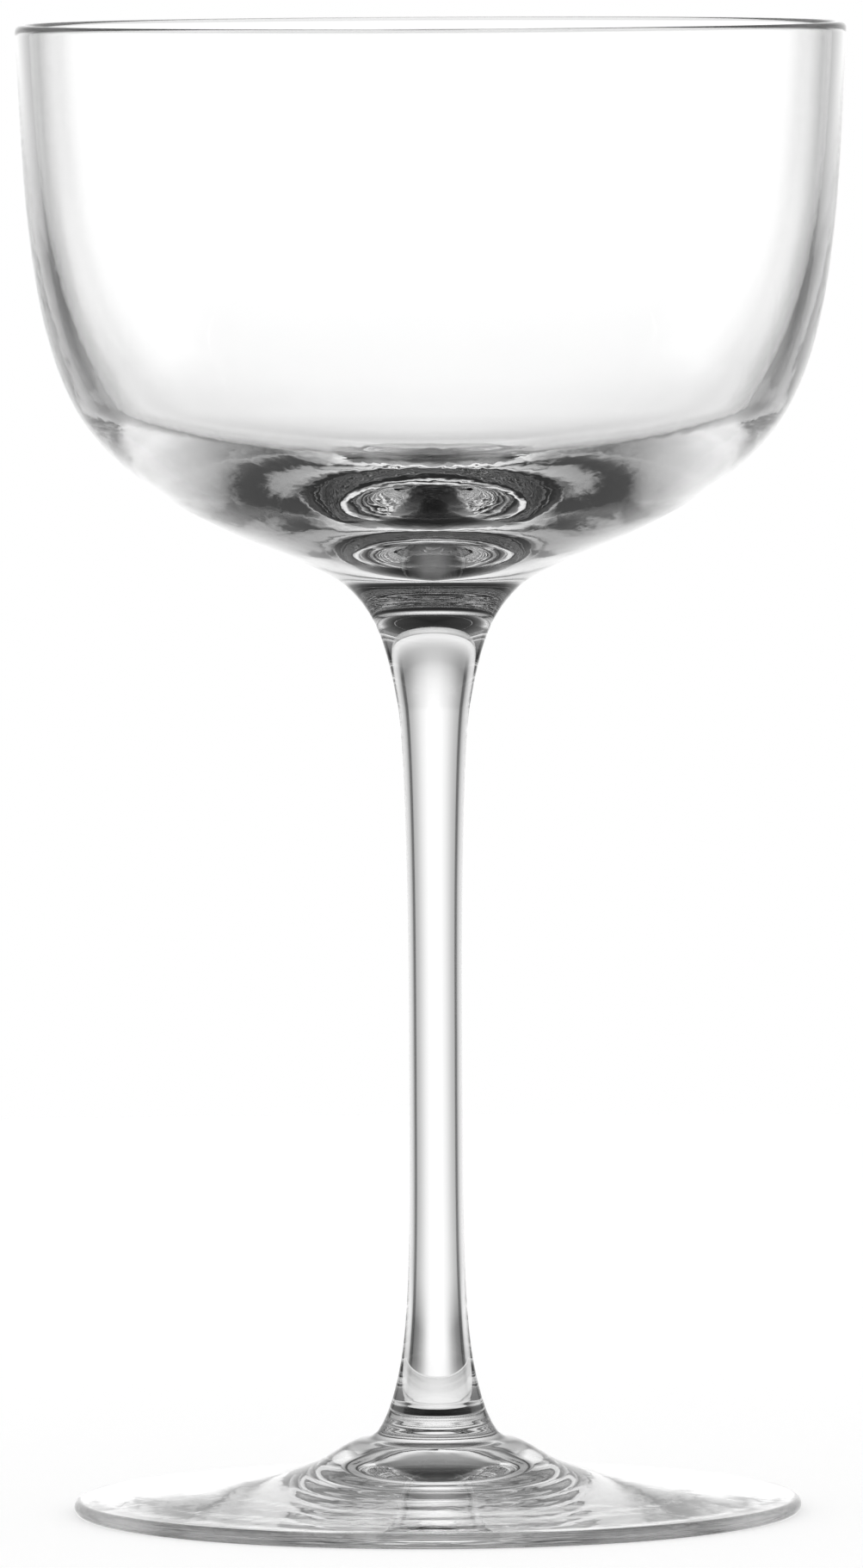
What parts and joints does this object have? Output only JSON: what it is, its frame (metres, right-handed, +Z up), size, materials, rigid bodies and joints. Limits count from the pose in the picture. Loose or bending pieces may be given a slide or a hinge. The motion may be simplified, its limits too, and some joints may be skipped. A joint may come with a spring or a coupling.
{
  "type": "nick and nora glass",
  "caption": "Stemmed cocktail glass in clear glass: a deep rounded bowl with a solid base, a slim drawn stem with flared ends, and a round foot that is hollow underneath.",
  "frame": {"origin": "on the table under the middle of the foot", "axes": "+Z up the stem through the middle of the bowl; the glass is round, so +X and +Y are alike"},
  "size_m": [0.0834, 0.0834, 0.15],
  "materials": {
    "bowl_glass": "clear blown glass, fire-polished",
    "stem_glass": "clear drawn glass, fire-polished",
    "foot_glass": "clear pressed glass, fire-polished"
  },
  "bodies": {
    "root": {"bowl": "bowl_glass", "stem": "stem_glass", "foot": "foot_glass"}
  },
  "joints": []
}
